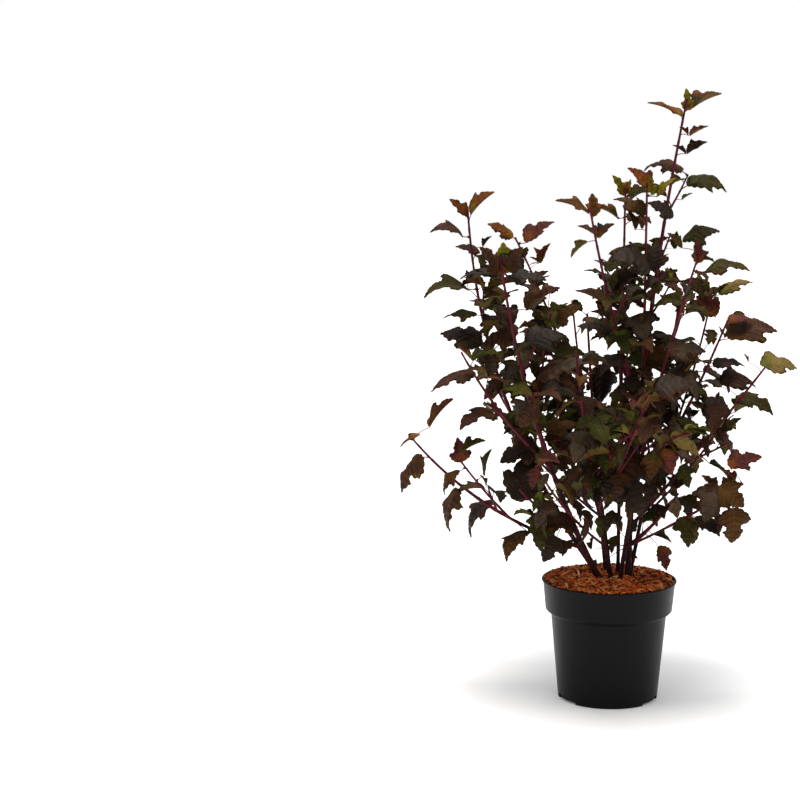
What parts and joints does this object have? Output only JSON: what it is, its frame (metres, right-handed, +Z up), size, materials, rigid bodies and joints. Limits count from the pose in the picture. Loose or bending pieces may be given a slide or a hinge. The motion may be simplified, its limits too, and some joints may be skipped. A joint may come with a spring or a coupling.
{
  "type": "potted shrub",
  "caption": "Dark purple-leaved ninebark shrub of many arching canes with lobed leaves, in a round black nursery pot topped with bark mulch.",
  "frame": {"origin": "middle of the pot's flat underside", "axes": "+Z up along the pot's axis, -Y towards the plant's front, +X to the right as seen from the front"},
  "size_m": [0.6955, 0.6013, 1.0374],
  "materials": {
    "pot_plastic": "satin black",
    "soil": "damp peat substrate",
    "bark_chips": "rough shredded bark",
    "stem_bark": "dark red bark",
    "foliage": "satin leaves, dark purple brown"
  },
  "bodies": {
    "root": {"pot": "pot_plastic", "root_ball": "soil", "bark_mulch": "bark_chips", "stem_left_front": "stem_bark", "stem_left_back": "stem_bark", "stem_back_left": "stem_bark", "stem_leader": "stem_bark", "stem_back_centre": "stem_bark", "stem_right_front": "stem_bark", "stem_back_right": "stem_bark", "stem_far_back": "stem_bark", "stem_front": "stem_bark", "bough_low_left": "stem_bark", "bough_crossing": "stem_bark", "bough_mid_left": "stem_bark", "bough_low_back_left": "stem_bark", "bough_right": "stem_bark", "bough_far_right": "stem_bark", "bough_low_right": "stem_bark", "bough_mid_right": "stem_bark", "bough_low_back_right": "stem_bark", "bough_low_back": "stem_bark", "bough_low_front": "stem_bark", "foliage_left_front": "foliage", "foliage_left_back": "foliage", "foliage_back_left": "foliage", "foliage_leader": "foliage", "foliage_back_centre": "foliage", "foliage_right_front": "foliage", "foliage_back_right": "foliage", "foliage_far_back": "foliage", "foliage_front": "foliage", "foliage_low_left": "foliage", "foliage_low_left_twig": "foliage", "foliage_crossing": "foliage", "foliage_mid_left": "foliage", "foliage_inner_left": "foliage", "foliage_low_back_left": "foliage", "foliage_back_twig": "foliage", "foliage_under_left": "foliage", "foliage_centre_front": "foliage", "foliage_upper_right": "foliage", "foliage_right": "foliage", "foliage_right_twig": "foliage", "foliage_far_right": "foliage", "foliage_far_right_twig": "foliage", "foliage_low_right": "foliage", "foliage_mid_right": "foliage", "foliage_under_right": "foliage", "foliage_low_back_right": "foliage", "foliage_low_back": "foliage", "foliage_mid_back": "foliage", "foliage_low_front": "foliage", "foliage_mid_front": "foliage"}
  },
  "joints": []
}
